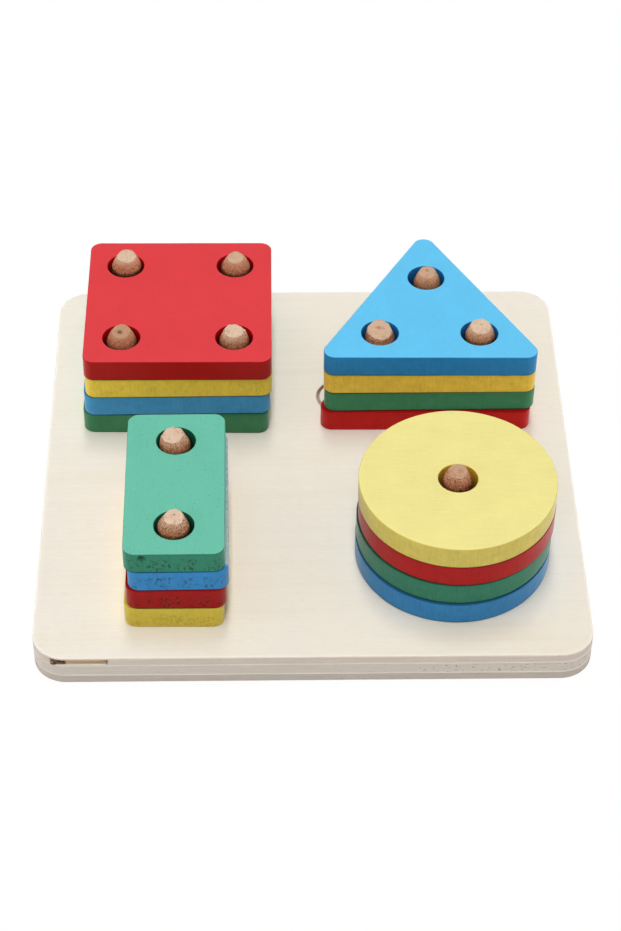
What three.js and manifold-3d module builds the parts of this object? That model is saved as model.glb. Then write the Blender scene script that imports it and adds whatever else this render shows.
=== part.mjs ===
// Wooden shape puzzle: a plywood board with ten glued pegs, and four stacks of four loose painted plates.
// Millimetres, +Z up, origin at the centre of the board's underside, the square stack at the back left.
import * as THREE from "three";
import { mergeVertices } from "three/addons/utils/BufferGeometryUtils.js";
import Module from "manifold-3d";

// Board
const boardThickness = 9;
const boardCornerRadius = 8.5;
const boardEdgeEase = 0.5;
const edgeMargin = 10; // board left outside the stacks
const columnGap = 13.2; // between the left and the right stacks
const rowGap = 20; // between the front and the back stacks

// Core void: a bit of the upper inner ply that is missing at the front edge
const voidFromLeft = 5.5;
const voidLength = 13.5;
const voidHeight = 1.9;
const voidDepth = 1.8;
const voidCover = 0.6; // face veneer left above it

// Plates
const plateThickness = 6.5;
const plateCornerRadius = 3;
const plateEdgeEase = 0.35;
const squareSide = 50;
const triangleHeight = 50; // over the rounded corners
const rectangleWidth = 25;
const rectangleLength = 50;
const discDiameter = 50;

// Pegs and the holes that fit over them
const pegDiameter = 8;
const pegPlay = 1; // radial clearance of a plate's hole
const holeWall = 5; // wood between a hole and the plate's side
const pegGlueGap = 0.2; // radial, in the board's socket
const socketFloor = 2.5; // board left under a peg
const pegFootEase = 0.6;
const tipHeight = 2.9; // the cone cut at the top of a peg
const tipInset = 1.2; // how far the cone comes in
const tipEase = 0.3;

const cutterOver = 1; // how far a cutter passes the face it opens

// Facets of the round stretches
const roundSides = 16;
const discSides = 40;
const plateCornerSteps = 4;
const boardCornerSteps = 6;
const boardEaseSteps = 2;
const plateEaseSteps = 1;

const holeRadius = pegDiameter / 2 + pegPlay;
const holeInset = holeWall + holeRadius; // from a plate's side to a hole's centre

const paint = {
  red: 0xd9434a,
  yellow: 0xece084,
  green: 0x63bd9c,
  blue: 0x5cbfee,
};
const plywoodColour = 0xe6cfae;
const dowelColour = 0xa8794f;
const paintRoughness = 0.6;
const plywoodRoughness = 0.75;
const dowelRoughness = 0.8;

const wasm = await Module();
wasm.setup();

// Solids for cuts. Vertices closer than this are one.
const mergeDistance = 1e-4;

function solidOf(geometry) {
  const bare = geometry.clone();
  bare.deleteAttribute("normal");
  bare.deleteAttribute("uv");
  const merged = mergeVertices(bare, mergeDistance);
  return new wasm.Manifold(
    new wasm.Mesh({
      numProp: 3,
      vertProperties: merged.attributes.position.array,
      triVerts: new Uint32Array(merged.index.array),
    }),
  );
}

function geometryOf(solid) {
  const mesh = solid.getMesh();
  const geometry = new THREE.BufferGeometry();
  geometry.setAttribute("position", new THREE.BufferAttribute(mesh.vertProperties, 3));
  geometry.setIndex(new THREE.BufferAttribute(mesh.triVerts, 1));
  geometry.computeVertexNormals();
  return geometry;
}

// Outlines
function arcPoints(x, y, radius, startAngle, sweep, steps) {
  const points = [];
  for (let i = 0; i <= steps; i += 1) {
    const angle = startAngle + (sweep * i) / steps;
    points.push(new THREE.Vector2(x + radius * Math.cos(angle), y + radius * Math.sin(angle)));
  }
  return points;
}

function circlePoints(x, y, radius, sides) {
  return arcPoints(x, y, radius, 0, 2 * Math.PI, sides).slice(0, sides);
}

// A convex outline, counter-clockwise, with every corner rounded.
function roundedOutline(corners, radius, steps) {
  return corners.flatMap((corner, i) => {
    const before = corners[(i + corners.length - 1) % corners.length];
    const after = corners[(i + 1) % corners.length];
    const inward = before.clone().sub(corner).normalize();
    const outward = after.clone().sub(corner).normalize();
    const halfAngle = Math.acos(inward.dot(outward)) / 2;
    const bisector = inward.clone().add(outward).normalize();
    const centre = corner.clone().addScaledVector(bisector, radius / Math.sin(halfAngle));
    const sweep = Math.PI - 2 * halfAngle;
    const startAngle = Math.atan2(-bisector.y, -bisector.x) - sweep / 2;
    return arcPoints(centre.x, centre.y, radius, startAngle, sweep, steps);
  });
}

function rectangleCorners(width, depth) {
  return [
    new THREE.Vector2(-width / 2, -depth / 2),
    new THREE.Vector2(width / 2, -depth / 2),
    new THREE.Vector2(width / 2, depth / 2),
    new THREE.Vector2(-width / 2, depth / 2),
  ];
}

// A slab from z 0 up to its thickness, with eased edges all round and at its holes.
function slabGeometry(outline, holes, thickness, ease, easeSteps) {
  const shape = new THREE.Shape(outline);
  shape.holes = holes.map((points) => new THREE.Path(points));
  const slab = new THREE.ExtrudeGeometry(shape, {
    depth: thickness - 2 * ease,
    bevelEnabled: true,
    bevelThickness: ease,
    bevelSize: ease,
    bevelOffset: -ease,
    bevelSegments: easeSteps,
    steps: 1,
  });
  return slab.translate(0, 0, ease);
}

// The four shapes, each round its own centre. The triangle's centre is its centroid.
const sharpHeight = triangleHeight + plateCornerRadius; // rounding takes one radius off each tip
const sharpSide = (2 * sharpHeight) / Math.sqrt(3);
const triangleInradius = sharpHeight / 3;
const triangleWidth = sharpSide - 2 * plateCornerRadius * (Math.sqrt(3) - 1);
const triangleHoleInradius = triangleInradius - holeInset;
const triangleHoleHalf = triangleHoleInradius * Math.sqrt(3);
const squareHoleHalf = squareSide / 2 - holeInset;
const rectangleHoleHalf = rectangleLength / 2 - holeInset;

const triangleCorners = [
  new THREE.Vector2(-sharpSide / 2, -triangleInradius),
  new THREE.Vector2(sharpSide / 2, -triangleInradius),
  new THREE.Vector2(0, 2 * triangleInradius),
];

const outlines = {
  square: roundedOutline(rectangleCorners(squareSide, squareSide), plateCornerRadius, plateCornerSteps),
  triangle: roundedOutline(triangleCorners, plateCornerRadius, plateCornerSteps),
  rectangle: roundedOutline(
    rectangleCorners(rectangleWidth, rectangleLength),
    plateCornerRadius,
    plateCornerSteps,
  ),
  disc: circlePoints(0, 0, discDiameter / 2, discSides),
};

// Board size, from what stands on it
const leftColumn = Math.max(squareSide, rectangleWidth);
const rightColumn = Math.max(triangleWidth, discDiameter);
const backRow = Math.max(squareSide, triangleHeight);
const frontRow = Math.max(rectangleLength, discDiameter);
const boardWidth = edgeMargin + leftColumn + columnGap + rightColumn + edgeMargin;
const boardDepth = edgeMargin + frontRow + rowGap + backRow + edgeMargin;
const rightLine = boardWidth / 2 - edgeMargin;
const leftLine = edgeMargin - boardWidth / 2;
const backLine = boardDepth / 2 - edgeMargin;
const frontLine = edgeMargin - boardDepth / 2;

// Stacks. Drift is how far the drilled pattern stands off its even place, and a peg's rise is its height over
// the top plate. Plates are listed from the top: lean is the share of the play that a plate takes up to the
// right and to the back, turn the share that it takes up by turning.
const stacks = {
  square: {
    centre: [leftLine + leftColumn / 2, backLine - squareSide / 2],
    drift: [0.1, 0.7],
    pegs: [
      { name: "back_left", at: [-squareHoleHalf, squareHoleHalf], rise: 3.3 },
      { name: "back_right", at: [squareHoleHalf, squareHoleHalf], rise: 2.7 },
      { name: "front_left", at: [-squareHoleHalf, -squareHoleHalf], rise: 2.1 },
      { name: "front_right", at: [squareHoleHalf, -squareHoleHalf], rise: 2.0 },
    ],
    plates: [
      { colour: "red", lean: [0.2, -0.35], turn: -0.1 },
      { colour: "yellow", lean: [0.05, 0.1], turn: 0.17 },
      { colour: "blue", lean: [-0.4, 0.3], turn: 0.12 },
      { colour: "green", lean: [-0.35, 0.15], turn: -0.38 },
    ],
  },
  triangle: {
    centre: [rightLine - triangleWidth / 2, backLine - triangleHeight + triangleInradius],
    drift: [0.8, 1.8],
    pegs: [
      { name: "back", at: [0, 2 * triangleHoleInradius], rise: 1.8 },
      { name: "front_left", at: [-triangleHoleHalf, -triangleHoleInradius], rise: 1.7 },
      { name: "front_right", at: [triangleHoleHalf, -triangleHoleInradius], rise: 2.4 },
    ],
    plates: [
      { colour: "blue", lean: [0.1, -0.2], turn: -0.16 },
      { colour: "yellow", lean: [0, 0.1], turn: 0.03 },
      { colour: "green", lean: [0.1, 0.35], turn: 0.11 },
      { colour: "red", lean: [-0.55, -0.35], turn: -0.1 },
    ],
  },
  rectangle: {
    centre: [leftLine + leftColumn / 2, frontLine + rectangleLength / 2],
    drift: [0.9, 0.4],
    pegs: [
      { name: "back", at: [0, rectangleHoleHalf], rise: 2.2 },
      { name: "front", at: [0, -rectangleHoleHalf], rise: 2.8 },
    ],
    plates: [
      { colour: "green", lean: [-0.2, 0], turn: 0.06 },
      { colour: "blue", lean: [0.5, 0.1], turn: 0.16 },
      { colour: "red", lean: [0.05, 0], turn: 0.03 },
      { colour: "yellow", lean: [-0.3, -0.2], turn: -0.18 },
    ],
  },
  disc: {
    centre: [rightLine - discDiameter / 2, frontLine + discDiameter / 2],
    drift: [1.4, 1.2],
    pegs: [{ name: "", at: [0, 0], rise: 2.4 }],
    plates: [
      { colour: "yellow", lean: [0.1, -0.05], turn: 0 },
      { colour: "red", lean: [0.25, 0.2], turn: 0 },
      { colour: "green", lean: [-0.1, 0.2], turn: 0 },
      { colour: "blue", lean: [-0.25, -0.3], turn: 0 },
    ],
  },
};

function matte(colour, roughness) {
  return new THREE.MeshStandardMaterial({ color: colour, roughness, metalness: 0 });
}

function namedMesh(name, geometry, material) {
  const mesh = new THREE.Mesh(geometry, material);
  mesh.name = name;
  return mesh;
}

// A straight dowel with an eased foot and a cone-cut tip, standing on z 0.
function pegGeometry(length) {
  const radius = pegDiameter / 2;
  const flatRadius = radius - tipInset;
  const profile = [
    new THREE.Vector2(0, 0),
    new THREE.Vector2(radius - pegFootEase, 0),
    new THREE.Vector2(radius, pegFootEase),
    new THREE.Vector2(radius, length - tipHeight),
    new THREE.Vector2(flatRadius, length - tipEase),
    new THREE.Vector2(flatRadius - tipEase, length),
    new THREE.Vector2(0, length),
  ];
  return new THREE.LatheGeometry(profile, roundSides).rotateX(Math.PI / 2);
}

// The cutter for a peg's blind socket. It passes the board's top face.
function socketCutter(x, y) {
  const height = boardThickness - socketFloor + cutterOver;
  const cutter = new THREE.CylinderGeometry(
    pegDiameter / 2 + pegGlueGap,
    pegDiameter / 2 + pegGlueGap,
    height,
    roundSides,
  );
  return cutter.rotateX(Math.PI / 2).translate(x, y, socketFloor + height / 2);
}

// The cutter for the core void: a ragged slot, seen from the front, that passes the board's front edge.
function voidCutter() {
  const left = voidFromLeft - boardWidth / 2;
  const top = boardThickness - voidCover;
  const ragged = [
    [0, 0.25],
    [0.12, 0.05],
    [0.55, 0],
    [0.93, 0.12],
    [1, 0.55],
    [0.95, 0.9],
    [0.5, 1],
    [0.06, 0.95],
  ].map(([u, v]) => new THREE.Vector2(left + u * voidLength, top - (1 - v) * voidHeight));
  const slot = new THREE.ExtrudeGeometry(new THREE.Shape(ragged), {
    depth: voidDepth + cutterOver,
    bevelEnabled: false,
  });
  return slot.rotateX(Math.PI / 2).translate(0, voidDepth - boardDepth / 2, 0);
}

function stackPlace(stack) {
  return new THREE.Vector2(stack.centre[0] + stack.drift[0], stack.centre[1] + stack.drift[1]);
}

function makeBoard() {
  const outline = roundedOutline(
    rectangleCorners(boardWidth, boardDepth),
    boardCornerRadius,
    boardCornerSteps,
  );
  let board = solidOf(slabGeometry(outline, [], boardThickness, boardEdgeEase, boardEaseSteps));
  for (const stack of Object.values(stacks)) {
    const place = stackPlace(stack);
    for (const peg of stack.pegs) {
      board = board.subtract(solidOf(socketCutter(place.x + peg.at[0], place.y + peg.at[1])));
    }
  }
  board = board.subtract(solidOf(voidCutter()));
  return namedMesh("base_board", geometryOf(board), matte(plywoodColour, plywoodRoughness));
}

function makeStack(shapeName, stack) {
  const group = new THREE.Group();
  const place = stackPlace(stack);
  group.position.set(place.x, place.y, 0);
  const stackTop = boardThickness + stack.plates.length * plateThickness;
  for (const peg of stack.pegs) {
    const name = ["peg", shapeName, peg.name].filter(Boolean).join("_");
    const dowel = pegGeometry(stackTop + peg.rise - socketFloor);
    const mesh = namedMesh(name, dowel, matte(dowelColour, dowelRoughness));
    mesh.position.set(peg.at[0], peg.at[1], socketFloor);
    group.add(mesh);
  }
  const holes = stack.pegs.map((peg) => circlePoints(peg.at[0], peg.at[1], holeRadius, roundSides));
  const holeReach = Math.hypot(...stack.pegs[0].at);
  stack.plates.forEach((plate, i) => {
    const slab = slabGeometry(outlines[shapeName], holes, plateThickness, plateEdgeEase, plateEaseSteps);
    const finish = matte(paint[plate.colour], paintRoughness);
    const mesh = namedMesh(`${shapeName}_plate_${plate.colour}`, slab, finish);
    mesh.position.set(plate.lean[0] * pegPlay, plate.lean[1] * pegPlay, stackTop - (i + 1) * plateThickness);
    mesh.rotation.z = holeReach > 0 ? (plate.turn * pegPlay) / holeReach : 0;
    group.add(mesh);
  });
  return group;
}

const puzzle = new THREE.Group();
puzzle.name = "shape_puzzle";
puzzle.add(makeBoard());
for (const [shapeName, stack] of Object.entries(stacks)) {
  puzzle.add(makeStack(shapeName, stack));
}

export default puzzle;
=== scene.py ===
import math
import bpy
import bmesh
from mathutils import Matrix, Vector, noise


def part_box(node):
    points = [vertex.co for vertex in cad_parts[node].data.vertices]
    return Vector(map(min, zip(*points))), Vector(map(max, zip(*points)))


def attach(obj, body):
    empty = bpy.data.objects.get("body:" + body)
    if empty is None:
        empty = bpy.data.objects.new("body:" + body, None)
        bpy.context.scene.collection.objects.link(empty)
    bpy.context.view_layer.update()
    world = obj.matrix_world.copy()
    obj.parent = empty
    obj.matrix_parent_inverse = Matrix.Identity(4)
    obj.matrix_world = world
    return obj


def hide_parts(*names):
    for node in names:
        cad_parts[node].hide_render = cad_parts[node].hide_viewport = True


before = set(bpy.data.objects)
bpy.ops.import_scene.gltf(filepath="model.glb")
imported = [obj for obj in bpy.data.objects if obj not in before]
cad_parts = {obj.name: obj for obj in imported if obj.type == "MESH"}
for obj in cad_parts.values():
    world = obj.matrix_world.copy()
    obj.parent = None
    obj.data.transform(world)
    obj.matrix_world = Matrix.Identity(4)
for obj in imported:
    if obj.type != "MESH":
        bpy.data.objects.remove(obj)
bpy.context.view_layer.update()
mm = 0.001


def metres(values):                                  # from millimetres
    return tuple(value * mm for value in values)


class Signal:
    def __init__(self, finish, socket):
        self.finish = finish
        self.socket = socket

    def pair(self, operation, first, second):
        return self.finish.node("ShaderNodeMath", {"operation": operation}, {0: first, 1: second})

    def __add__(self, other):
        return self.pair("ADD", self, other)

    def __sub__(self, other):
        return self.pair("SUBTRACT", self, other)

    def __rsub__(self, other):
        return self.pair("SUBTRACT", other, self)

    def __mul__(self, other):
        return self.pair("MULTIPLY", self, other)

    def __truediv__(self, other):
        return self.pair("DIVIDE", self, other)

    def __abs__(self):
        return self.pair("ABSOLUTE", self, 0.0)

    __radd__ = __add__
    __rmul__ = __mul__

    def step(self, low, high):                       # 0 below low, 1 above high, smooth between
        settings = {"interpolation_type": "SMOOTHSTEP"}
        return self.finish.node("ShaderNodeMapRange", settings, {0: self, 1: low, 2: high})

    def within(self, start, full, fade, end):        # rises from start to full, falls from fade to end
        return self.step(start, full) * (1.0 - self.step(fade, end))


class Finish:
    def __init__(self, owner):                       # owner: a material or a world
        self.owner = owner
        owner.use_nodes = True
        self.tree = owner.node_tree
        self.tree.nodes.clear()

    def node(self, kind, settings=None, sockets=None, out=0):
        made = self.tree.nodes.new(kind)
        for key, value in (settings or {}).items():
            if key == "stops":
                ramp = made.color_ramp
                while len(ramp.elements) < len(value):
                    ramp.elements.new(1.0)
                for element, (place, colour) in zip(ramp.elements, value):
                    element.position = place
                    element.color = (*colour, 1.0)
            else:
                setattr(made, key, value)
        for key, value in (sockets or {}).items():
            if isinstance(value, Signal):
                self.tree.links.new(value.socket, made.inputs[key])
            else:
                made.inputs[key].default_value = value
        return Signal(self, made.outputs[out]) if made.outputs else None

    def place(self):                                 # where a point is, in metres, on the resting piece
        return self.node("ShaderNodeTexCoord", None, None, "Object")

    def normal(self):
        return self.node("ShaderNodeTexCoord", None, None, "Normal")

    def direction(self):                             # where a ray of the world comes from
        return self.node("ShaderNodeTexCoord", None, None, "Generated")

    def part(self, vector, axis):                    # axis 0, 1, 2 for x, y, z
        return self.node("ShaderNodeSeparateXYZ", None, {0: vector}, axis)

    def facing(self):                                # 1 on flat tops and undersides, 0 on upright sides
        return abs(self.part(self.normal(), 2))

    def stretch(self, size, angle, shift):           # size of one fleck in mm, along turned axes
        sockets = {"Vector": self.place(), "Location": shift, "Rotation": (0, 0, angle),
                   "Scale": metres(size)}
        return self.node("ShaderNodeMapping", {"vector_type": "TEXTURE"}, sockets)

    def cloud(self, size, angle=0.0, shift=(0, 0, 0), detail=2.0, rough=0.5):
        sockets = {"Vector": self.stretch(size, angle, shift), "Scale": 1.0,
                   "Detail": detail, "Roughness": rough}
        return self.node("ShaderNodeTexNoise", None, sockets)

    def away(self, x, y):                            # distance from an upright line, in metres
        here = self.place()
        level = self.node("ShaderNodeCombineXYZ", None,
                          {0: self.part(here, 0), 1: self.part(here, 1), 2: 0.0})
        return self.node("ShaderNodeVectorMath", {"operation": "DISTANCE"},
                         {0: level, 1: (x, y, 0.0)}, "Value")

    def mix(self, factor, first, second, blend="MIX"):
        settings = {"data_type": "RGBA", "blend_type": blend, "clamp_factor": True}
        first, second = (part if isinstance(part, Signal) else (*part, 1.0)
                         for part in (first, second))
        return self.node("ShaderNodeMix", settings, {0: factor, 6: first, 7: second}, 2)

    def shade(self, colour, amount):                 # a colour made darker or lighter by a value
        return self.mix(1.0, colour, amount, "MULTIPLY")

    def bump(self, height, depth):                   # depth in mm for a height of 1
        sockets = {"Height": height, "Distance": depth * mm, "Strength": 1.0}
        return self.node("ShaderNodeBump", None, sockets)

    def direct(self):                                # 1 for rays that show the background itself
        kinds = ("Is Camera Ray", "Is Glossy Ray", "Is Transmission Ray")
        seen, shine, through = (self.node("ShaderNodeLightPath", None, None, kind) for kind in kinds)
        return (seen + shine + through).step(0.0, 1.0)

    def either(self, factor, first, second):         # the first shader at 0, the second at 1
        return self.node("ShaderNodeMixShader", None, {0: factor, 1: first, 2: second})

    def close(self, surface, kind="ShaderNodeOutputMaterial"):
        self.node(kind, None, {0: surface})
        return self.owner

    def wood(self, colour, rough, normal, shine, sheen=0.0):
        return self.close(self.node("ShaderNodeBsdfPrincipled", None, {
            "Base Color": colour, "Roughness": rough, "Normal": normal, "Specular IOR Level": shine,
            "Sheen Weight": sheen, "Sheen Roughness": 0.3}))


def newFinish(name):
    return Finish(bpy.data.materials.new(name))


def seedShift(seed, spread):                         # moves a pattern, so that no two pieces share it
    return tuple(seed * part for part in spread)


def roundedOutline(corners, radius, step):           # points and outward directions, counter-clockwise
    count = len(corners)
    arcs = []
    for i in range(count):
        before = Vector(corners[i - 1])
        here = Vector(corners[i])
        after = Vector(corners[(i + 1) % count])
        inward = (here - before).normalized()
        onward = (after - here).normalized()
        turn = math.atan2(inward.cross(onward), inward.dot(onward))
        start = math.atan2(inward.y, inward.x) - math.pi / 2
        left = Vector((-inward.y, inward.x))
        centre = here - inward * (radius * math.tan(turn / 2)) + left * radius
        parts = max(4, round(radius * turn / (step * 0.6)))      # closer points in the corners
        arc = []
        for k in range(parts + 1):
            angle = start + turn * k / parts
            way = Vector((math.cos(angle), math.sin(angle)))
            arc.append((centre + way * radius, way))
        arcs.append(arc)
    points = []
    for i in range(count):
        points += arcs[i]
        last, way = arcs[i][-1]
        first = arcs[(i + 1) % count][0][0]
        parts = max(1, round((first - last).length / step))
        for k in range(1, parts):
            points.append((last.lerp(first, k / parts), way))
    return points


def circleWays(count):                               # directions all round
    angles = [2 * math.pi * k / count for k in range(count)]
    return [Vector((math.cos(a), math.sin(a))) for a in angles]


def circleOutline(radius, step):
    return [(way * radius, way) for way in circleWays(round(2 * math.pi * radius / step))]


def addRing(bm, points):
    return [bm.verts.new(point) for point in points]


def joinRings(bm, lower, upper, finish=0):
    count = len(lower)
    for i in range(count):
        j = (i + 1) % count
        face = bm.faces.new((lower[i], lower[j], upper[j], upper[i]))
        face.smooth = True
        face.material_index = finish


def capRings(bm, rings):                             # flat fill between one outer ring and any holes
    edges = []
    for ring in rings:
        for i in range(len(ring)):
            edges.append(bm.edges.get((ring[i], ring[(i + 1) % len(ring)])))
    bmesh.ops.triangle_fill(bm, use_beauty=True, edges=edges)


def speckle(x, y, z, seed):                          # smooth noise about -1 to 1
    return noise.noise(Vector((x + seed * 17.3, y - seed * 9.1, z + seed * 5.7)))


def finishPiece(bm, name, body, node, slot, *materials):
    bmesh.ops.recalc_face_normals(bm, faces=bm.faces)
    mesh = bpy.data.meshes.new(name)
    bm.to_mesh(mesh)
    bm.free()
    for material in materials:
        mesh.materials.append(material)
    piece = bpy.data.objects.new(name, mesh)
    bpy.context.scene.collection.objects.link(piece)
    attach(piece, body)
    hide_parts(node)
    return piece


pegLook = {
    "sides": 48,
    "shaftRings": 12,
    "coneRings": 9,
    "cutRings": (0.93, 0.7, 0.42, 0.18),   # shares of the cut's reach
    "tipHeight": 3.5,              # mm of cone above the round shaft
    "dome": 0.22,                  # mm that the cut falls off towards its edge
    "dimpleWidth": 0.75,           # share of the cut that a dimple takes
    "footEase": 0.6,
    "bowLength": 9.0,              # mm below the cone over which a peg leans aside
    "bulge": 1.6,                  # over 1 makes the cone barrel-shaped
    "tool": 0.10,                  # mm that the knife left on the cone
    "rubbed": 0.03,                # mm of wear on the shaft and the cut
    "splinterSize": (0.7, 14),     # mm that a splinter stands out, degrees to each side of it
    "rimLeft": 0.25,               # mm between the widest cut and the shaft's side
    # cut: radius mm; lean: deg, high side towards deg; tone: 1 is a pale new cut
    # bow: mm that the tip leans aside; spot: x, y, radius mm, darkness
    # crisp: the cut has a sharp rim; slim: mm taken off the radius; ruddy: redder wood
    "tips": {
        "peg_square_back_left": dict(
            cut=2.5, lean=5, towards=90, shift=(0.1, 0.5), facets=15, tone=0.80, pores=0.5,
            bow=(0.45, 0.0), ruddy=True),
        "peg_square_back_right": dict(
            cut=2.1, lean=6, towards=70, shift=(0.0, 0.6), facets=10, tone=0.40, pores=0.5,
            bow=(0.45, 0.0), ruddy=True),
        "peg_square_front_left": dict(
            cut=2.4, lean=8, towards=80, shift=(0.0, 0.5), facets=11, tone=0.00, pores=0.7,
            bow=(0.15, 0.0), ruddy=True, dimple=0.6, spot=(-0.4, -0.1, 1.25, 0.95)),
        "peg_square_front_right": dict(
            cut=2.5, lean=6, towards=120, shift=(-0.1, 0.4), facets=9, tone=0.95, pores=0.9,
            bow=(0.15, 0.0), splinter=10, crisp=True),
        "peg_triangle_back": dict(
            cut=2.2, lean=5, towards=90, shift=(0.0, 0.7), facets=12, tone=0.30, pores=0.6,
            bow=(0.6, 0.0), slim=0.3, dimple=0.2, spot=(0.0, 0.5, 0.9, 0.5)),
        "peg_triangle_front_left": dict(
            cut=3.1, lean=14, towards=95, shift=(-0.1, 0.4), facets=9, tone=0.50, pores=1.2,
            bow=(0.0, 0.0), spot=(-0.2, 0.6, 0.9, 0.45)),
        "peg_triangle_front_right": dict(
            cut=2.7, lean=7, towards=80, shift=(0.1, 0.3), facets=10, tone=0.90, pores=0.6,
            bow=(0.25, 0.0), spot=(0.1, 0.5, 0.7, 0.4)),
        "peg_rectangle_back": dict(
            cut=2.7, lean=8, towards=60, shift=(-0.5, 0.5), facets=8, tone=0.95, pores=1.0,
            bow=(-0.6, 0.0), crisp=True),
        "peg_rectangle_front": dict(
            cut=2.45, lean=6, towards=100, shift=(0.2, 0.5), facets=9, tone=0.95, pores=1.2,
            bow=(-0.3, 0.0), crisp=True, spot=(0.0, 0.6, 0.8, 0.5)),
        "peg_disc": dict(
            cut=2.4, lean=5, towards=90, shift=(0.1, 0.4), facets=9, tone=0.15, pores=1.1,
            bow=(-0.1, 0.0), ruddy=True, slim=0.3, dimple=0.15, crisp=True,
            spot=(0.3, 0.3, 0.7, 0.35)),
    },
    "face": (0.55, 0.31, 0.185),       # old cut
    "fresh": (0.79, 0.58, 0.42),       # pale new cut
    "cone": (0.36, 0.115, 0.045),
    "shaft": (0.49, 0.25, 0.125),
    "ruddy": ((0.30, 0.075, 0.028), (0.50, 0.20, 0.10)),
    "pore": (0.11, 0.045, 0.018),
    "grime": (0.05, 0.022, 0.012),     # painted shade on the ring just under the cone, where the shaft goes down into the hole
    "paleFrom": (1.0, 3.2),            # mm over the cone's foot where the cut's colour comes in
    "grimeBand": (-5.0, -1.5, -1.2, 0.9),
    "spotSoft": 0.2,                   # mm in the middle of a spot that stay full dark
    "patternShift": (0.031, 0.017, 0.023),
    "streakSize": (0.35, 0.35, 3.0),   # mm
    "pitSize": (0.24, 0.24, 0.8),
    "ringSize": (2.2, 0.5, 5.0),
    "smudgeSize": (1.6, 1.6, 1.6),
    "dotSize": (0.18, 0.18, 2.0),
    "relief": 0.14,
}


def dowelFinish(name, tip, top, tipFoot, seed):
    f = newFinish(name)
    shift = seedShift(seed, pegLook["patternShift"])
    cut = f.facing().step(0.78, 0.92)
    streak = f.cloud(pegLook["streakSize"], 0.3, shift, 3.0, 0.6)
    pit = f.cloud(pegLook["pitSize"], 0.7, shift, 2.0, 0.55).step(0.52, 0.66) * tip["pores"]
    ring = f.cloud(pegLook["ringSize"], 0.4 + seed, shift, 3.0, 0.6)
    smudge = f.cloud(pegLook["smudgeSize"], 0.0, shift).step(0.52, 0.70)
    dot = f.cloud(pegLook["dotSize"], 0.0, shift, 1.0).step(0.57, 0.70)
    above = f.part(f.place(), 2) - tipFoot
    dark, pale = pegLook["ruddy"] if "ruddy" in tip else (pegLook["cone"], pegLook["shaft"])
    face = tuple(old + (new - old) * tip["tone"] for old, new in zip(pegLook["face"], pegLook["fresh"]))
    side = f.mix(streak.step(0.35, 0.65), dark, pale)
    side = f.mix(above.step(*metres(pegLook["paleFrom"])) * 0.50, side, face)
    side = f.mix(pit * 0.8, side, pegLook["pore"])
    # painted shade: the shaft darkens just under the cone, where the hole's shade falls
    side = f.mix(above.within(*metres(pegLook["grimeBand"])) * 0.8, side, pegLook["grime"])
    face = f.shade(face, 0.80 + ring * 0.40)
    if "spot" in tip:
        aside, ahead, wide, depth = tip["spot"]
        away = f.away(top.x + aside * mm, top.y + ahead * mm) + streak * 0.0003
        spot = 1.0 - away.step(pegLook["spotSoft"] * mm, wide * mm)
        face = f.mix(spot * depth, face, pegLook["pore"])
    flecks = (dot * 0.35 + smudge * 0.30) * min(1.0, tip["pores"] + 0.3)
    face = f.mix(flecks, face, pegLook["cone"])
    colour = f.mix(cut, side, face)
    height = streak * 0.5 - pit * (1.0 - cut) - dot * cut * 0.5
    return f.wood(colour, 0.62 + streak * 0.25, f.bump(height, pegLook["relief"]), 0.25)


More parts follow.
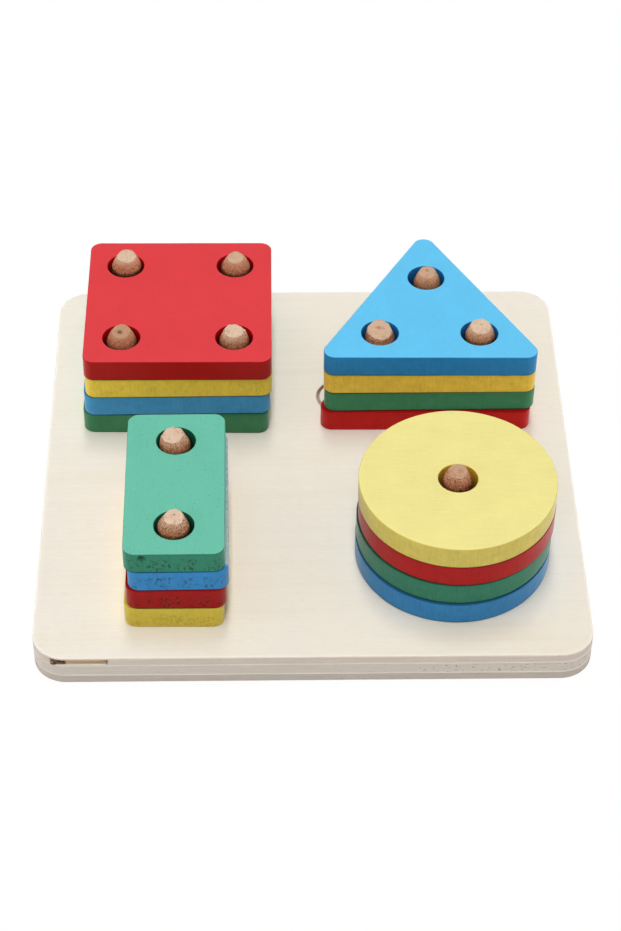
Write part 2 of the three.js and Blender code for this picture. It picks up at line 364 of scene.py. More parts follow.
def carvePeg(node, seed):
    low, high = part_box(node)
    middle = ((low + high) / 2).to_2d()
    radius = (high.x - low.x) / 2
    tip = pegLook["tips"][node]
    bow = Vector(tip["bow"]) * mm
    shift = Vector(tip["shift"]) * mm
    slim = tip.get("slim", 0.0) * mm
    dimple = tip.get("dimple", 0.0) * mm
    dome = pegLook["dome"] * mm
    rubbed = pegLook["rubbed"] * mm
    sides = pegLook["sides"]
    ease = pegLook["footEase"] * mm
    tipFoot = high.z - pegLook["tipHeight"] * mm
    slope = math.tan(math.radians(tip["lean"]))
    towards = math.radians(tip["towards"])
    leanWay = Vector((math.cos(towards), math.sin(towards)))
    centre = middle + bow + shift
    ways = circleWays(sides)

    def cutReach(angle):                             # irregular polygon that the knife left on top
        width = 2 * math.pi / tip["facets"]
        side = math.floor(angle / width)
        off = angle - (side + 0.5 + 0.25 * speckle(side * 1.7, 0.3, 0.0, seed)) * width
        wobble = 1 + 0.10 * speckle(side * 2.3, 1.1, 0.0, seed)
        reach = tip["cut"] * mm * wobble * min(1.12, 0.97 / math.cos(min(0.6, abs(off))))
        if "splinter" in tip:
            long, wide = pegLook["splinterSize"]
            aside = abs((math.degrees(angle) - tip["splinter"] + 180) % 360 - 180)
            reach += long * mm * max(0.0, 1 - aside / wide)
        return min(reach, radius - pegLook["rimLeft"] * mm)

    cuts = [cutReach(2 * math.pi * k / sides) for k in range(sides)]
    bm = bmesh.new()
    rings = []
    for inset, z in ((ease, low.z), (ease * 0.3, low.z + ease * 0.3), (0.0, low.z + ease)):
        rings.append(addRing(bm, [(*(middle + w * (radius - inset)), z) for w in ways]))
    for k in range(1, pegLook["shaftRings"] + 1):
        z = low.z + ease + (tipFoot - low.z - ease) * k / pegLook["shaftRings"]
        near = max(0.0, 1 - (tipFoot - z) / (pegLook["bowLength"] * mm))
        ring = []
        for w in ways:
            worn = rubbed * (1 + speckle(w.x * 3, w.y * 3, z * 300, seed)) + slim * near
            ring.append((*(middle + bow * near + w * (radius - worn)), z))
        rings.append(addRing(bm, ring))
    lift = [slope * (shift + w * cut).dot(leanWay) for w, cut in zip(ways, cuts)]
    cutLevel = high.z - max(lift) - dome
    for k in range(1, pegLook["coneRings"] + 1):
        s = k / pegLook["coneRings"]
        knife = pegLook["tool"] * mm * math.sin(math.pi * min(1.0, s * 1.05))
        ring = []
        for w, cut, up in zip(ways, cuts, lift):
            foot = middle + bow + w * (radius - slim)
            place = foot.lerp(centre + w * cut, s ** pegLook["bulge"])
            grain = speckle(w.x * 5, w.y * 5, s * 1.5, seed) + 0.6 * speckle(w.x * 12, w.y * 12, s * 3, seed)
            place -= w * (knife * (0.7 + grain))
            ring.append((*place, tipFoot + (cutLevel + up - tipFoot) * s))
        rings.append(addRing(bm, ring))
    for lower, upper in zip(rings, rings[1:]):
        joinRings(bm, lower, upper)
    rim = rings[-1]
    for i in range(sides):
        bm.edges.get((rim[i], rim[(i + 1) % sides])).smooth = "crisp" not in tip
    inner = rim
    for reach in pegLook["cutRings"]:
        ring = []
        for w, cut in zip(ways, cuts):
            flat = w * (cut * reach)
            z = cutLevel + slope * (shift + flat).dot(leanWay) + dome * (1 - reach * reach)
            z -= dimple * max(0.0, 1 - reach / pegLook["dimpleWidth"])
            z -= rubbed * (1 + speckle(flat.x * 900, flat.y * 900, 0, seed))
            ring.append((*(centre + flat), z))
        ring = addRing(bm, ring)
        joinRings(bm, inner, ring)
        inner = ring
    capRings(bm, [inner])
    capRings(bm, [rings[0]])
    return finishPiece(bm, node.replace("peg", "dowel"), "peg_board", node, "dowel",
                       dowelFinish("dowel wood " + node, tip, centre, tipFoot, seed))


pegs = [carvePeg(node, seed) for seed, node in enumerate(pegLook["tips"], 1)]
print("pegs carved:", len(pegs))

plateLook = {
    "thickness": 6.5,
    "corner": 3.0,
    "ease": (0.42, 0.25),          # rounding of the lower and the upper edge
    "ledge": 1.1,                  # mm of the flat that shows between shifted plates
    "rim": 0.15,                   # rounding of the holes
    "rimFlat": 0.2,                # mm of flat round a hole's rim
    "mesh": (0.8, 8),              # mm between points, rows up a side
    "chipMesh": (0.3, 20),         # the same where a chip has to show
    "chips": {                     # knocked-out spot on a front side, mm from the middle and from the underside
        "rectangle_plate_green": dict(x=-7.8, z=5.15, wide=1.2, tall=0.95, deep=0.7),
    },
    "saw": 0.07,                   # mm of saw marks on the sides
    "outlines": {
        "square": [(-25, -25), (25, -25), (25, 25), (-25, 25)],
        "triangle": [(-30.6, -17.667), (30.6, -17.667), (0, 35.333)],
        "rectangle": [(-12.5, -25), (12.5, -25), (12.5, 25), (-12.5, 25)],
    },
    "discRadius": 25.0,
    "holeRadius": 5.0,
    "holeSides": 56,
    "holeSearch": 6.3,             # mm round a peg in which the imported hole's points are
    "pegs": {
        "square": ["back_left", "back_right", "front_left", "front_right"],
        "triangle": ["back", "front_left", "front_right"],
        "rectangle": ["back", "front"],
        "disc": [""],
    },
    "stacks": {                    # colours from the top
        "square": ["red", "yellow", "blue", "green"],
        "triangle": ["blue", "yellow", "green", "red"],
        "rectangle": ["green", "blue", "red", "yellow"],
        "disc": ["yellow", "red", "green", "blue"],
    },
}
paintLook = {
    "face": {
        "red": (0.735, 0.048, 0.056),
        "yellow": (0.865, 0.775, 0.29),
        "blue": (0.130, 0.565, 0.89),
        "green": (0.145, 0.53, 0.385),
    },
    "edge": {                      # thin paint on the sawn sides
        "square": {"red": (0.36, 0.004, 0.003), "yellow": (0.74, 0.545, 0.057),
                   "blue": (0.045, 0.255, 0.48), "green": (0.040, 0.182, 0.080)},
        "triangle": {"blue": (0.020, 0.205, 0.45), "yellow": (0.80, 0.525, 0.056),
                     "green": (0.042, 0.205, 0.088), "red": (0.49, 0.006, 0.004)},
        "rectangle": {"green": (0.028, 0.197, 0.120), "blue": (0.030, 0.208, 0.465),
                      "red": (0.295, 0.002, 0.002), "yellow": (0.535, 0.41, 0.047)},
        "disc": {"yellow": (0.575, 0.463, 0.098), "red": (0.37, 0.005, 0.005),
                 "green": (0.029, 0.170, 0.098), "blue": (0.028, 0.184, 0.397)},
    },
    "bare": (0.022, 0.013, 0.008), # very dark wood in a chip
    "shine": 0.12,
    "sheen": 0.28,                 # pale bloom of matte paint seen aslant
    "relief": 0.07,                # mm
    "holeRelief": 0.10,
    "ledgeRelief": 0.06,
    "ledge": {                     # painted shade where plates lie on each other: tone, and share of grey on the right side
        "square": (0.85, 0.0),
        "triangle": (0.80, 0.0),
        "rectangle": (1.10, 0.85),
        "disc": (0.55, 0.0),
    },
    "under": 0.20,                 # painted shade: tone of the lower edges of the upper plates, in the creases between plates
    "ledgeGrey": (0.46, 0.58, 0.50),
    "ledgeGreyX": (11.0, 11.6),          # mm from the middle where the grey comes in
    "rubY": (-23.2, -21.8),
    "hole": {                      # tint of the drilled walls; tints under 1 are painted shade inside the holes
        "red": (1.3, 1.3, 1.3), "yellow": (1.3, 0.95, 0.4),
        "blue": (1.0, 1.0, 1.3), "green": (0.5, 0.65, 0.6),
    },
    "speckle": {                   # dark open pores on the sawn sides
        "square": {"red": 0.08, "yellow": 0.22, "blue": 0.15, "green": 0.10},
        "triangle": {"blue": 0.15, "yellow": 0.18, "green": 0.12, "red": 0.15},
        "rectangle": {"green": 1.0, "blue": 0.9, "red": 1.0, "yellow": 0.4},
        "disc": {"yellow": 0.12, "red": 0.35, "green": 0.30, "blue": 0.22},
    },
    "poreSize": {                  # mm wide, mm tall
        "square": (0.4, 1.2), "triangle": (0.4, 1.2), "rectangle": (0.75, 0.95), "disc": (0.3, 2.6),
    },
    "poreMiddle": 0.42,            # share of the height that the pores gather round
    "poreBand": {"square": 1.0, "triangle": 1.0, "rectangle": 0.40, "disc": 1.0},
    "fleck": {"square": 0.2, "triangle": 0.15, "rectangle": 0.6, "disc": 0.05},
    "grain": {"square": 0.1, "triangle": 0.6, "rectangle": 1.5, "disc": 0.3},   # its turn, radians
    "patternShift": (0.041, 0.027, 0.019),
    "softSize": (7, 7, 7),         # mm
    "grainSize": (9.0, 0.40, 0.5),
    "peelSize": (0.45, 0.45, 0.45),
    "fleckSize": (0.5, 0.35, 0.5),
    "streakSize": (0.55, 0.55, 4.5),
    "blotchSize": (3.0, 3.0, 2.0),
    "patchSize": (2.6, 2.6, 5.0),
    "ridgeSize": (0.9, 0.9, 0.25),
    "scuffSize": (1.2, 1.2, 0.6),
}


def paintFinish(shape, colour, middle, low, turn, seed):
    f = newFinish("painted " + shape + " " + colour)
    angle = paintLook["grain"][shape] + 0.7 * seed
    shift = seedShift(seed, paintLook["patternShift"])
    up = f.part(f.place(), 2) - low.z
    flat = f.facing().step(0.80, 0.97)
    soft = f.cloud(paintLook["softSize"], angle, shift)
    grain = f.cloud(paintLook["grainSize"], angle, shift, 3.0, 0.6)
    peel = f.cloud(paintLook["peelSize"], angle, shift, 3.0, 0.65)
    fleck = f.cloud(paintLook["fleckSize"], angle, shift, 0.0).step(0.77, 0.82) * paintLook["fleck"][shape]
    face = f.shade(paintLook["face"][colour], 0.80 + soft * 0.12 + grain * 0.12 + peel * 0.16 - fleck)
    streak = f.cloud(paintLook["streakSize"], angle, shift, 3.0, 0.6)
    blotch = f.cloud(paintLook["blotchSize"], angle, shift)
    patch = f.cloud(paintLook["patchSize"], angle, shift).step(0.32, 0.58)
    wide, tall = paintLook["poreSize"][shape]
    pore = f.cloud((wide, wide, tall), angle, shift, 2.0, 0.6).step(0.49, 0.63) * patch
    endGrain = abs(f.part(f.normal(), 1)).step(0.70, 0.98)
    offMiddle = abs(up / (plateLook["thickness"] * mm) - paintLook["poreMiddle"])
    band = paintLook["poreBand"][shape]
    pore = pore * (0.30 + 0.70 * endGrain) * (1.0 - offMiddle.step(band * 0.6, band))
    amount = paintLook["speckle"][shape][colour]
    tone = 0.74 + streak * 0.30 + blotch * 0.30 - pore * (0.65 * amount)
    side = f.shade(paintLook["edge"][shape][colour], tone)
    chip = plateLook["chips"].get(shape + "_plate_" + colour)
    if chip:
        front = min(y for x, y in plateLook["outlines"][shape])
        spot = middle + Matrix.Rotation(turn, 2) @ Vector((chip["x"], front)) * mm
        off = f.away(spot.x, spot.y) / (chip["wide"] * mm)
        high = abs(up - chip["z"] * mm) / (chip["tall"] * mm)
        bare = 1.0 - (off * off + high * high + streak * 0.4).step(0.3, 1.2)
        side = f.mix(bare * 0.85, side, paintLook["bare"])
    paint = f.mix(flat, side, face)
    rough = 0.30 + soft * 0.14 + peel * 0.12 + flat * 0.10
    height = (grain * 0.4 + peel * 0.9 - fleck) * flat + (streak * 0.8 - pore * amount) * (1.0 - flat)
    relief = f.bump(height, paintLook["relief"])
    return f.wood(paint, rough, relief, paintLook["shine"], paintLook["sheen"])


def holeFinish(shape, colour, seed):                 # drilled walls in the sides' thin paint, with a tint per colour; the darker tints are painted shade inside the holes
    f = newFinish("drilled " + shape + " " + colour)
    ridge = f.cloud(paintLook["ridgeSize"], 0.0, seedShift(seed, paintLook["patternShift"]), 3.0, 0.6)
    edge, tints = paintLook["edge"][shape][colour], paintLook["hole"][colour]
    dark = tuple(part * tint for part, tint in zip(edge, tints))
    relief = f.bump(ridge, paintLook["holeRelief"])
    return f.wood(f.shade(dark, 0.6 + ridge * 0.8), 0.7 + ridge * 0.2, relief, 0.1)


def edgeShadeFinish(name, shape, colour, middle, tone, grey, seed):     # painted shade on the edges of plates that lie on each other, with grey towards the right side
    f = newFinish(name + " " + shape + " " + colour)
    scuff = f.cloud(paintLook["scuffSize"], 0.0, seedShift(seed, paintLook["patternShift"]), 3.0, 0.6)
    dark = f.shade(tuple(part * tone for part in paintLook["edge"][shape][colour]), 0.8 + scuff * 0.4)
    where = f.place()
    right = (f.part(where, 0) - middle.x).step(*metres(paintLook["ledgeGreyX"]))
    behind = (f.part(where, 1) - middle.y).step(*metres(paintLook["rubY"]))
    # grey on the ledges at the right side, away from the front end
    worn = right * behind * grey * (0.55 + 0.45 * scuff.step(0.3, 0.6))
    paint = f.mix(worn, dark, paintLook["ledgeGrey"])
    return f.wood(paint, 0.6 + scuff * 0.2, f.bump(scuff, paintLook["ledgeRelief"]), 0.1)


def holeCentres(shape, node):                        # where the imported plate's holes are, in metres
    centres = []
    for tag in plateLook["pegs"][shape]:
        low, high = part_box("_".join(["peg", shape] + ([tag] if tag else [])))
        axis = ((low + high) / 2).to_2d()
        near = {(round(v.co.x, 7), round(v.co.y, 7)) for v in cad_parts[node].data.vertices
                if (v.co.to_2d() - axis).length < plateLook["holeSearch"] * mm}
        total = sum((Vector(point) for point in near), Vector((0.0, 0.0)))
        centres.append(total / len(near))
    return centres


def patternTurn(shape, centres):                     # how far the plate is turned on its pegs
    if shape == "disc":
        return 0.0
    if shape == "rectangle":
        way = centres[0] - centres[1]
        return math.atan2(way.y, way.x) - math.pi / 2
    if shape == "square":
        way = (centres[1] - centres[0]) + (centres[3] - centres[2])
    else:
        way = centres[2] - centres[1]
    return math.atan2(way.y, way.x)


def easedEdge(ease, ledge):                          # inset, height and share of the saw marks
    bends = 4
    turns = [math.pi / 2 * k / bends for k in range(bends + 1)]
    bend = [(ease * (1 - math.sin(t)), ease * (1 - math.cos(t)), t / turns[-1]) for t in turns]
    return [(ease + ledge, 0.0, 0.0)] + bend


def cutPlate(shape, colour, level, seed):
    node = shape + "_plate_" + colour
    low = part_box(node)[0]
    holes = holeCentres(shape, node)
    middle = sum(holes, Vector((0.0, 0.0))) / len(holes)
    turn = patternTurn(shape, holes)
    chip = plateLook["chips"].get(node)
    lowest = level == len(plateLook["stacks"][shape]) - 1
    step, rows = plateLook["chipMesh"] if chip else plateLook["mesh"]
    if shape == "disc":
        outline = circleOutline(plateLook["discRadius"], step)
    else:
        outline = roundedOutline(plateLook["outlines"][shape], plateLook["corner"], step)
    spin = Matrix.Rotation(turn, 2)
    turned = [(spin @ point, spin @ way) for point, way in outline]
    deep = plateLook["thickness"]
    below, above = plateLook["ease"]
    lowerEdge, upperEdge = (easedEdge(ease, plateLook["ledge"]) for ease in (below, above))
    bends = len(lowerEdge) - 1
    profile = lowerEdge + [(0.0, below + (deep - below - above) * k / rows, 1.0) for k in range(1, rows)]
    profile += [(inset, deep - z, share) for inset, z, share in reversed(upperEdge)]
    bm = bmesh.new()
    rings = []
    for inset, z, share in profile:
        ring = []
        for (point, way), (home, homeWay) in zip(turned, outline):
            slow = speckle(point.x * 0.12, point.y * 0.12, z * 0.3, seed)
            fine = speckle(point.x * 0.9, point.y * 0.9, z * 0.15, seed + 3)
            worn = 1 + 0.4 * speckle(point.x * 0.3, point.y * 0.3, 9.0, seed)
            back = inset * worn + share * plateLook["saw"] * (0.5 + 0.3 * slow + 0.4 * fine)
            if chip and homeWay.y < -0.9:            # front side
                across = (home.x - chip["x"]) / chip["wide"]
                upright = (z - chip["z"]) / chip["tall"]
                back += chip["deep"] * max(0.0, 1 - across ** 2 - upright ** 2) * (1 + 0.5 * fine)
            spot = point - way * max(0.0, back)
            ring.append((middle.x + spot.x * mm, middle.y + spot.y * mm, low.z + z * mm))
        rings.append(addRing(bm, ring))
    for k, (lower, upper) in enumerate(zip(rings, rings[1:])):
        finish = 0                                   # paint 0, hole 1, painted shade on the ledges 2, painted shade in the creases 3
        if k < bends:
            finish = 2 if lowest else 3
        elif level > 0 and k >= len(rings) - 1 - bends:
            finish = 2
        joinRings(bm, lower, upper, finish)
    bottoms = [rings[0]]
    tops = [rings[-1]]
    rim = plateLook["rim"]
    lip = [(rim + plateLook["rimFlat"], 0.0), (rim, 0.0), (rim * 0.3, rim * 0.3), (0.0, rim)]
    wall = lip + [(wide, deep - z) for wide, z in reversed(lip)]
    for hole in holes:
        column = []
        for wide, z in wall:
            ring = []
            for way in circleWays(plateLook["holeSides"]):
                tear = 1 + 0.5 * speckle(way.x * 2, way.y * 2, hole.x * 900, seed)
                spot = hole + way * ((plateLook["holeRadius"] + wide * tear) * mm)
                ring.append((*spot, low.z + z * mm))
            column.append(addRing(bm, ring))
        for k, (lower, upper) in enumerate(zip(column, column[1:])):
            joinRings(bm, lower, upper, 1 if 2 <= k <= 4 else 0)
        bottoms.append(column[0])
        tops.append(column[-1])
    capRings(bm, bottoms)
    capRings(bm, tops)
    # finish 2 is painted shade on the ledges under the plate above and on the lowest plate's lower edge; finish
    # 3 is painted shade in the creases under each upper plate
    return finishPiece(bm, shape + "_" + colour + "_painted", shape + "_" + colour, node, "paint_" + colour,
                       paintFinish(shape, colour, middle, low, turn, seed), holeFinish(shape, colour, seed),
                       edgeShadeFinish("rubbed", shape, colour, middle, *paintLook["ledge"][shape], seed),
                       edgeShadeFinish("dirty", shape, colour, middle, paintLook["under"], 0.0, seed))


plates = []
for shape, colours in plateLook["stacks"].items():
    for level, colour in enumerate(colours):
        plates.append(cutPlate(shape, colour, level, len(plates) + 1))
print("plates cut:", len(plates))

boardLook = {
    "corner": 8.5,
    "thickness": 9.0,
    "ease": 0.5,
    "easeFlat": 0.5,               # mm of flat next to the rounding
    "rows": [                      # heights of the points up the edge, close at the glue lines and the void
        1.2, 1.9, 2.55, 2.65, 2.95, 3.05, 3.9, 4.7, 5.4, 6.05, 6.15,
        6.4, 6.5, 6.65, 6.9, 7.2, 7.5, 7.8, 8.05, 8.25, 8.4,
    ],
    "glueLines": (2.6, 6.3),
    "saw": 0.05,                   # mm of saw marks on the edge
    "socketRadius": 4.2,
    "socketDepth": 6.5,
    "socketEase": 0.25,
    "socketSides": 40,
    "voidX": (-64.5, -51.0),       # core void in the front edge, mm
    "voidZ": (6.5, 8.4),
    "voidDepth": 1.8,
    "voidRagged": 0.25,
    "voidMargin": 1.5,             # mm beside the void with close columns of points
    "veneer": (0.905, 0.85, 0.745),
    "warm": (0.83, 0.67, 0.48),
    "grainLine": (0.74, 0.66, 0.55),
    "plies": [                     # share of the height, colour
        (0.0, (0.49, 0.43, 0.37)), (0.285, (0.49, 0.43, 0.37)), (0.295, (0.72, 0.65, 0.56)),
        (0.33, (0.72, 0.65, 0.56)), (0.345, (0.59, 0.53, 0.465)), (0.67, (0.59, 0.53, 0.465)),
        (0.685, (0.72, 0.66, 0.57)), (0.72, (0.72, 0.66, 0.57)), (0.735, (0.60, 0.515, 0.45)),
        (0.955, (0.60, 0.515, 0.45)), (0.965, (0.72, 0.65, 0.55)),
    ],
    "middlePly": (0.33, 0.36, 0.64, 0.67),
    "pore": (0.17, 0.10, 0.06),
    "poresFrom": (20, 30),         # mm, the middle ply's pores are open right of here
    "warmX": (22, 36, 50, 64),     # warm streak along the front edge, mm
    "warmY": (-66.5, -64.0, -60.0, -57.0),
    "duskX": (-30, 30),            # the veneer is a little darker to the front right
    "duskY": (-64, -20),
    "insideX": (-65.5, -65.0, -50.7, -50.3),     # walls of the void, mm
    "insideY": (-69.7, -69.4, -67.5, -67.0),
    "insideZ": (0.68, 0.70, 0.93, 0.95),         # share of the height
    # share of the height above which the void's inside darkens: painted shade under the top veneer
    "insideRoof": (0.86, 0.92),
    "voidInside": (0.68, 0.50, 0.32),
    "torn": (0.10, 0.045, 0.025),  # dark split wood at the void's ends
    "tornLeft": (-60.8, -60.2),
    "tornRight": (-51.3, -51.0),
    "mark": (0.16, 0.075, 0.02),   # brown crescent beside the triangles
    "markCentre": (8.94, 25.14),   # mm
    "markRadius": 6.23,
    "markLine": (0.32, 0.72),      # half its width, dark to clear
    "markX": (4.5, 5.6),
    "markY": (20.5, 22.8, 30.0, 31.0),
    "markDark": (23.5, 28.5),
    "grainSize": (45, 0.9, 1.0),   # mm
    "broadSize": (60, 7, 5),
    "poreSize": (2.6, 0.16, 0.5),
    "fineSize": (0.3, 0.2, 0.3),
    "wanderSize": (1.2, 1.2, 1.2),
    "waverSize": (14, 14, 1.5),
    "endPoreSize": (1.1, 1.1, 0.42),
    "longGrainSize": (7.0, 7.0, 0.35),
    "tornSize": (0.8, 0.8, 0.5),
    "relief": 0.08,
}


def plywoodFinish():
    f = newFinish("sanded plywood")
    look = boardLook
    where = f.place()
    x, y, z = (f.part(where, axis) for axis in range(3))
    flat = f.facing().step(0.55, 0.85)
    grain = f.cloud(look["grainSize"], 0.015, (0.013, 0.007, 0), 4.0, 0.6)
    broad = f.cloud(look["broadSize"], 0.03, (0.11, 0.05, 0), 3.0)
    pore = f.cloud(look["poreSize"], 0.01, (0.2, 0.1, 0)).step(0.58, 0.70)
    fine = f.cloud(look["fineSize"], rough=0.6)

    # veneer
    top = f.mix(grain.step(0.35, 0.75) * 0.12, look["veneer"], look["grainLine"])
    top = f.mix(pore * 0.22, top, look["grainLine"])
    streak = x.within(*metres(look["warmX"])) * y.within(*metres(look["warmY"]))
    top = f.mix(broad.step(0.45, 0.75) * 0.12 + streak * (0.10 + 0.30 * grain), top, look["warm"])
    dusk = (1.0 - y.step(*metres(look["duskY"]))) * (0.4 + 0.6 * x.step(*metres(look["duskX"])))
    top = f.mix(dusk * 0.07, top, look["warm"])
    top = f.shade(top, 0.95 + fine * 0.10 - dusk * 0.025)
    wander = f.cloud(look["wanderSize"]) * 0.0004
    offLine = abs(f.away(*metres(look["markCentre"])) + wander - look["markRadius"] * mm)
    arc = (1.0 - offLine.step(*metres(look["markLine"]))) * (1.0 - x.step(*metres(look["markX"])))
    arc = arc * y.within(*metres(look["markY"])) * (0.68 + 0.30 * y.step(*metres(look["markDark"])))
    top = f.mix(arc, top, look["mark"])

    # sawn edge with its plies
    waver = f.cloud(look["waverSize"], 0.0, (0.3, 0.1, 0)) * 0.0005 - 0.00025
    share = (z + waver) / (look["thickness"] * mm)
    plies = f.node("ShaderNodeValToRGB", {"stops": look["plies"]}, {0: share})
    endPore = f.cloud(look["endPoreSize"], 0.0, (0.05, 0.03, 0), 2.0, 0.55).step(0.60, 0.70)
    openPly = share.within(*look["middlePly"]) * x.step(*metres(look["poresFrom"]))
    longGrain = f.cloud(look["longGrainSize"], 0.0, (0.02, 0.06, 0), 3.0, 0.6)
    edge = f.shade(plies, 0.80 + longGrain * 0.30 + fine * 0.10)
    edge = f.mix(endPore * (0.10 + 0.65 * openPly), edge, look["pore"])
    colour = f.mix(flat, edge, top)

    # inside of the core void, with painted shade along its roof
    inside = x.within(*metres(look["insideX"])) * y.within(*metres(look["insideY"]))
    inside = inside * share.within(*look["insideZ"])
    hollow = f.shade(look["voidInside"], 0.80 + longGrain * 0.5 - 0.55 * share.step(*look["insideRoof"]))
    colour = f.mix(inside, colour, hollow)
    torn = f.cloud(look["tornSize"], 0.0, (0.01, 0.02, 0), 3.0, 0.65)
    ends = 1.0 - (x + torn * 0.0016).step(*metres(look["tornLeft"]))
    ends = ends + (x + torn * 0.0006).step(*metres(look["tornRight"]))
    colour = f.mix(inside * ends * (0.45 + 0.55 * torn.step(0.35, 0.60)), colour, look["torn"])

    height = (grain * 0.5 - pore * 0.4) * flat + (longGrain - endPore * 0.6) * (1.0 - flat) + fine * 0.2
    return f.wood(colour, 0.58 + fine * 0.2, f.bump(height, look["relief"]), 0.25)


def sawBoard():
    low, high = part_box("base_board")
    half = (high.x - low.x) / 2 / mm
    deep = boardLook["thickness"]
    voidStart, voidEnd = boardLook["voidX"]
    voidLow, voidHigh = boardLook["voidZ"]
    corners = [(-half, -half), (half, -half), (half, half), (-half, half)]
    coarse = roundedOutline(corners, boardLook["corner"], 1.0)
    margin = boardLook["voidMargin"]
    outline = []
    for (point, way), (nextPoint, nextWay) in zip(coarse, coarse[1:] + coarse[:1]):
        outline.append((point, way))
        if way.y < -0.8 and voidStart - margin < point.x < voidEnd + margin:     # close columns round the void
            outline += [(point.lerp(nextPoint, k / 4), way.lerp(nextWay, k / 4).normalized())
                        for k in (1, 2, 3)]
    eased = easedEdge(boardLook["ease"], boardLook["easeFlat"])
    profile = eased + [(0.0, z, 1.0) for z in boardLook["rows"]]
    profile += [(inset, deep - z, share) for inset, z, share in reversed(eased)]
    bm = bmesh.new()
    rings = []
    for inset, z, share in profile:
        ply = sum(z >= line for line in boardLook["glueLines"])
        ring = []
        for point, way in outline:
            slow = speckle(point.x * 0.5, point.y * 0.5, z * 0.8, 4 + ply)
            fine = speckle(point.x * 2.1, point.y * 2.1, z * 2.0, 9)
            back = inset + share * max(0.0, boardLook["saw"] * (1 + 0.6 * slow + 0.4 * fine))
            if way.y < -0.8 and voidLow < z < voidHigh:
                ragged = boardLook["voidRagged"] * speckle(0.0, 0.0, z * 2.5, 6)
                into = min(point.x - voidStart - ragged, voidEnd + ragged - point.x)
                roof = min(z - voidLow, voidHigh - z)
                if into > 0.0:
                    hollow = 0.75 + 0.25 * speckle(point.x * 0.4, 0.0, z, 2)
                    hollow *= min(1.0, roof / 0.35) * min(1.0, 0.4 + into / 0.8)     # shallow at its rim
                    back += boardLook["voidDepth"] * hollow
            spot = point - way * back
            ring.append((spot.x * mm, spot.y * mm, low.z + z * mm))
        rings.append(addRing(bm, ring))
    for lower, upper in zip(rings, rings[1:]):
        joinRings(bm, lower, upper)
    tops = [rings[-1]]
    ease = boardLook["socketEase"]
    for node in pegLook["tips"]:
        pegLow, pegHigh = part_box(node)
        axis = ((pegLow + pegHigh) / 2).to_2d()
        column = []
        for wide, z in ((ease, deep), (0.0, deep - ease), (0.0, deep - boardLook["socketDepth"])):
            reach = (boardLook["socketRadius"] + wide) * mm
            ways = circleWays(boardLook["socketSides"])
            column.append(addRing(bm, [(*(axis + way * reach), low.z + z * mm) for way in ways]))
        joinRings(bm, column[0], column[1])
        joinRings(bm, column[1], column[2])
        capRings(bm, [column[2]])
        tops.append(column[0])
    capRings(bm, [rings[0]])
    capRings(bm, tops)
    return finishPiece(bm, "plywood_base", "peg_board", "base_board", "plywood", plywoodFinish())


board = sawBoard()
print("board sawn:", len(board.data.vertices), "points")

studio = {
    "floorSize": 6.0,
    "floorDrop": 0.02,             # mm under the board, so that the two faces don't meet
    "floorBounce": 0.92,           # light that the floor gives back
    "floorTone": 0.98,
    "paperSize": (3.0, 3.0, 3.0),
    "floorWhite": 0.95,            # share of plain white that the camera sees, the rest takes the shadow
    "sky": (0.28, 0.12),           # light from all over, at the left and at the right
    "skyTurn": (-0.5, 0.5),        # from the left light to the right one
    "panel": 6.2,                  # low bright panels at the left and right
    "panelAcross": (0.45, 0.85),
    "panelTop": (0.08, 0.22),
    "lamps": [                     # place m, width and depth m, power W
        ((0.02, -0.25, 5.0), (0.60, 4.5), 184.5),
        ((-0.10, -0.75, 0.90), (0.45, 0.45), 1.18),
    ],
    "aimHeight": 0.02,
}


def floorFinish():
    f = newFinish("pale floor")
    direct = f.direct()
    paper = f.cloud(studio["paperSize"], rough=0.6)
    seen = f.shade((studio["floorTone"],) * 3, 0.97 + paper * 0.03)
    tone = f.mix(direct, (studio["floorBounce"],) * 3, seen)
    mat = f.node("ShaderNodeBsdfPrincipled", None,
                 {"Base Color": tone, "Roughness": 1.0, "Specular IOR Level": 0.0})
    white = f.node("ShaderNodeEmission", None, {"Color": (1, 1, 1, 1), "Strength": 1.0})
    return f.close(f.either(direct * studio["floorWhite"], mat, white))


def layFloor():
    reach = studio["floorSize"] / 2
    corners = [(-reach, -reach, 0), (reach, -reach, 0), (reach, reach, 0), (-reach, reach, 0)]
    mesh = bpy.data.meshes.new("floor")
    mesh.from_pydata(corners, [], [(0, 1, 2, 3)])
    mesh.materials.append(floorFinish())
    floor = bpy.data.objects.new("floor", mesh)
    floor.location.z = -studio["floorDrop"] * mm
    bpy.context.scene.collection.objects.link(floor)


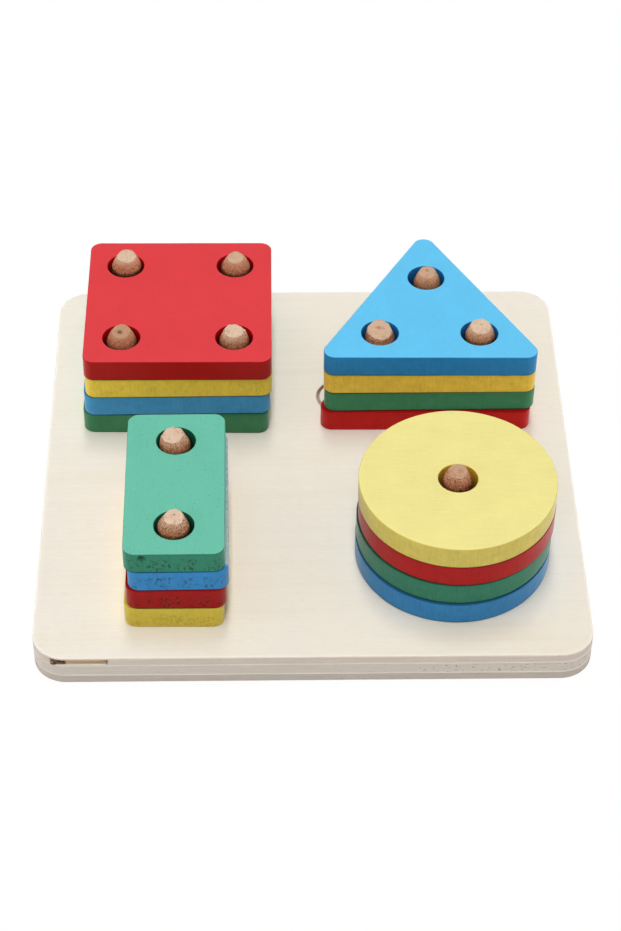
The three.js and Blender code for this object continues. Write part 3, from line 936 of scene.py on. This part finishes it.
def skyFinish():
    f = Finish(bpy.data.worlds.new("studio"))
    way = f.direction()
    across = f.part(way, 0)
    strengths = (*studio["sky"], studio["panel"], 1.0)
    left, right, panel, white = (
        f.node("ShaderNodeBackground", None, {"Color": (1, 1, 1, 1), "Strength": strength})
        for strength in strengths)
    low = 1.0 - f.part(way, 2).step(*studio["panelTop"])
    sky = f.either(across.step(*studio["skyTurn"]), left, right)
    light = f.either(low * abs(across).step(*studio["panelAcross"]), sky, panel)
    return f.close(f.either(f.direct(), light, white), "ShaderNodeOutputWorld")


def hangLamps():
    for place, (wide, deep), power in studio["lamps"]:
        lamp = bpy.data.lights.new("soft box", "AREA")
        lamp.shape = "RECTANGLE"
        lamp.size = wide
        lamp.size_y = deep
        lamp.energy = power
        holder = bpy.data.objects.new("soft box", lamp)
        holder.location = place
        aim = Vector((place[0], 0, studio["aimHeight"])) - holder.location       # the depth runs along y
        holder.rotation_euler = aim.to_track_quat("-Z", "Y").to_euler()
        bpy.context.scene.collection.objects.link(holder)


layFloor()
bpy.context.scene.world = skyFinish()
hangLamps()
print("studio lit:", len(studio["lamps"]), "lamps")

cameraLook = {
    "place": (-12.571, -458.912, 452.158),   # mm
    "pitch": 44.121,                         # degrees below level
    "yaw": -1.624,
    "roll": 0.766,
    "lens": 92.135,
    "sensor": 36.0,
}


def aimCamera():
    pitch, yaw, roll = (math.radians(cameraLook[key]) for key in ("pitch", "yaw", "roll"))
    sin, cos = math.sin, math.cos
    turn = Matrix(((cos(yaw), sin(yaw), 0), (-sin(yaw), cos(yaw), 0), (0, 0, 1)))
    tip = Matrix(((1, 0, 0), (0, -sin(pitch), -cos(pitch)), (0, cos(pitch), -sin(pitch))))
    tilt = Matrix(((cos(roll), -sin(roll), 0), (sin(roll), cos(roll), 0), (0, 0, 1)))
    right, down, ahead = tilt @ tip @ turn
    axes = Matrix((right, -down, -ahead)).transposed()
    lens = bpy.data.cameras.new("camera")
    lens.lens = cameraLook["lens"]
    lens.sensor_width = cameraLook["sensor"]
    camera = bpy.data.objects.new("camera", lens)
    camera.matrix_world = Matrix.Translation(metres(cameraLook["place"])) @ axes.to_4x4()
    bpy.context.scene.collection.objects.link(camera)
    bpy.context.scene.camera = camera


aimCamera()
bpy.context.scene.view_settings.view_transform = "Standard"
print("camera set")
